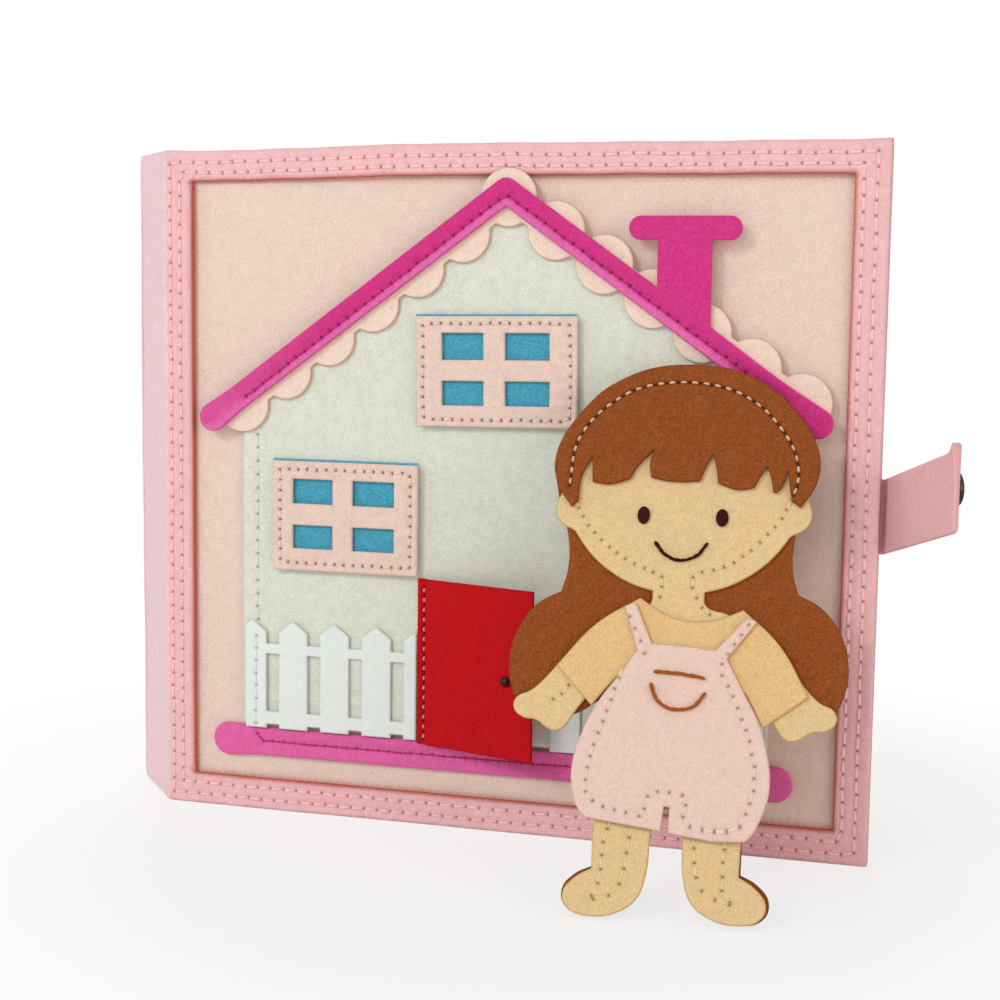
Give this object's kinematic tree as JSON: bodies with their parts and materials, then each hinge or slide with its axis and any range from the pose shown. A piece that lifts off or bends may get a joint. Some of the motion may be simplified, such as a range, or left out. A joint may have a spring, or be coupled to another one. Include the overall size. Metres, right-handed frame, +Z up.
{
  "type": "quiet book",
  "caption": "Felt quiet book standing partly open, with a felt house and opening door on its cover, a snap strap, felt leaves and a lift-off felt doll.",
  "frame": {"origin": "middle of the bottom of the whole object's box, on the surface that the book stands on", "axes": "+Z up, +X along the front cover from its fold to its fore-edge, +Y from the front cover's outer face towards the leaves"},
  "size_m": [0.2704, 0.316, 0.21],
  "materials": {
    "border_felt": "pressed felt",
    "spine_felt": "pressed felt",
    "panel_felt": "pressed felt",
    "lining_felt": "pressed felt",
    "board": "grey board",
    "wall_felt": "pressed felt",
    "scallop_felt": "pressed felt",
    "roof_felt": "pressed felt",
    "sash_felt": "pressed felt",
    "pane_felt": "pressed felt",
    "door_felt": "pressed felt",
    "knob_bead": "polished bead",
    "fence_felt": "pressed felt",
    "leaf_felt": "pressed felt",
    "snap_metal": "dark plated",
    "hair_felt": "pressed felt",
    "skin_felt": "pressed felt",
    "shirt_felt": "pressed felt",
    "dungarees_felt": "pressed felt",
    "face_thread": "stitched thread",
    "pocket_thread": "stitched thread"
  },
  "bodies": {
    "spine": {"spine_cover": "spine_felt", "spine_board": "board", "spine_lining": "lining_felt", "front_fold": "spine_felt", "back_fold": "spine_felt"},
    "front_cover": {"front_frame": "border_felt", "front_panel": "panel_felt", "front_board": "board", "front_lining": "lining_felt", "house_wall": "wall_felt", "scallop_trim": "scallop_felt", "roof_trim": "roof_felt", "ground_strip": "roof_felt", "upper_window_frame": "sash_felt", "upper_window_pane": "pane_felt", "lower_window_frame": "sash_felt", "lower_window_pane": "pane_felt", "fence_left": "fence_felt", "fence_right": "fence_felt", "door_seam": "door_felt", "strap_tongue": "border_felt"},
    "back_cover": {"back_cover_sheet": "border_felt", "back_board": "board", "back_lining": "lining_felt", "snap_stud": "snap_metal"},
    "leaf_1": {"leaf_1_tab": "leaf_felt", "leaf_1_front": "leaf_felt", "leaf_1_back": "leaf_felt"},
    "leaf_2": {"leaf_2_tab": "leaf_felt", "leaf_2_front": "leaf_felt", "leaf_2_back": "leaf_felt"},
    "leaf_3": {"leaf_3_tab": "leaf_felt", "leaf_3_front": "leaf_felt", "leaf_3_back": "leaf_felt"},
    "leaf_4": {"leaf_4_tab": "leaf_felt", "leaf_4_front": "leaf_felt", "leaf_4_back": "leaf_felt"},
    "door": {"door_panel": "door_felt", "door_knob": "knob_bead"},
    "strap_root": {"strap_root": "border_felt"},
    "strap_tip": {"strap_tip": "border_felt", "snap_socket": "snap_metal"},
    "doll": {"doll_backing": "hair_felt", "doll_back_hair": "hair_felt", "doll_body": "skin_felt", "doll_fringe": "hair_felt", "doll_shirt": "shirt_felt", "doll_dungarees": "dungarees_felt", "doll_eye_left": "face_thread", "doll_eye_right": "face_thread", "doll_smile": "face_thread", "pocket_line": "pocket_thread", "pocket_curve": "pocket_thread"}
  },
  "joints": [
    {"name": "front_fold_turn", "type": "hinge", "parent": "spine", "child": "front_cover", "pos_m": [-0.11363, -0.08775, 0.105], "axis": [0, 0, 1], "range_deg": [-50, 40]},
    {"name": "back_fold_turn", "type": "hinge", "parent": "spine", "child": "back_cover", "pos_m": [-0.1342, -0.06324, 0.105], "axis": [0, 0, 1], "range_deg": [-40, 50]},
    {"name": "leaf_1_turn", "type": "hinge", "parent": "spine", "child": "leaf_1", "pos_m": [-0.11389, -0.07616, 0.105], "axis": [0, 0, 1], "range_deg": [-33.4, 26.7]},
    {"name": "leaf_2_turn", "type": "hinge", "parent": "spine", "child": "leaf_2", "pos_m": [-0.11687, -0.07261, 0.105], "axis": [0, 0, 1], "range_deg": [-16.7, 13.4]},
    {"name": "leaf_3_turn", "type": "hinge", "parent": "spine", "child": "leaf_3", "pos_m": [-0.11985, -0.06906, 0.105], "axis": [0, 0, 1], "range_deg": [-13.4, 16.7]},
    {"name": "leaf_4_turn", "type": "hinge", "parent": "spine", "child": "leaf_4", "pos_m": [-0.12283, -0.06551, 0.105], "axis": [0, 0, 1], "range_deg": [-26.7, 33.4]},
    {"name": "door_swing", "type": "hinge", "parent": "front_cover", "child": "door", "pos_m": [-0.02512, -0.0908, 0.0524], "axis": [0, 0, 1], "range_deg": [-117.8, 17.2]},
    {"name": "strap_swing", "type": "hinge", "parent": "front_cover", "child": "strap_root", "pos_m": [0.11192, -0.0811, 0.1031], "axis": [0, 0, 1], "range_deg": [-20.5, 156.5]},
    {"name": "strap_bend", "type": "hinge", "parent": "strap_root", "child": "strap_tip", "pos_m": [0.12404, -0.10898, 0.1106], "axis": [0, 0, 1], "range_deg": [0, 90]},
    {"name": "doll_lift", "type": "slide", "parent": "front_cover", "child": "doll", "axis": [0, 0, 1], "range_m": [0, 0.22]}
  ],
  "couplings": [
    {"joint": "leaf_1_turn", "follows": "front_fold_turn", "ratio": 0.6666},
    {"joint": "leaf_2_turn", "follows": "front_fold_turn", "ratio": 0.3333},
    {"joint": "leaf_3_turn", "follows": "back_fold_turn", "ratio": 0.3333},
    {"joint": "leaf_4_turn", "follows": "back_fold_turn", "ratio": 0.6666}
  ]
}
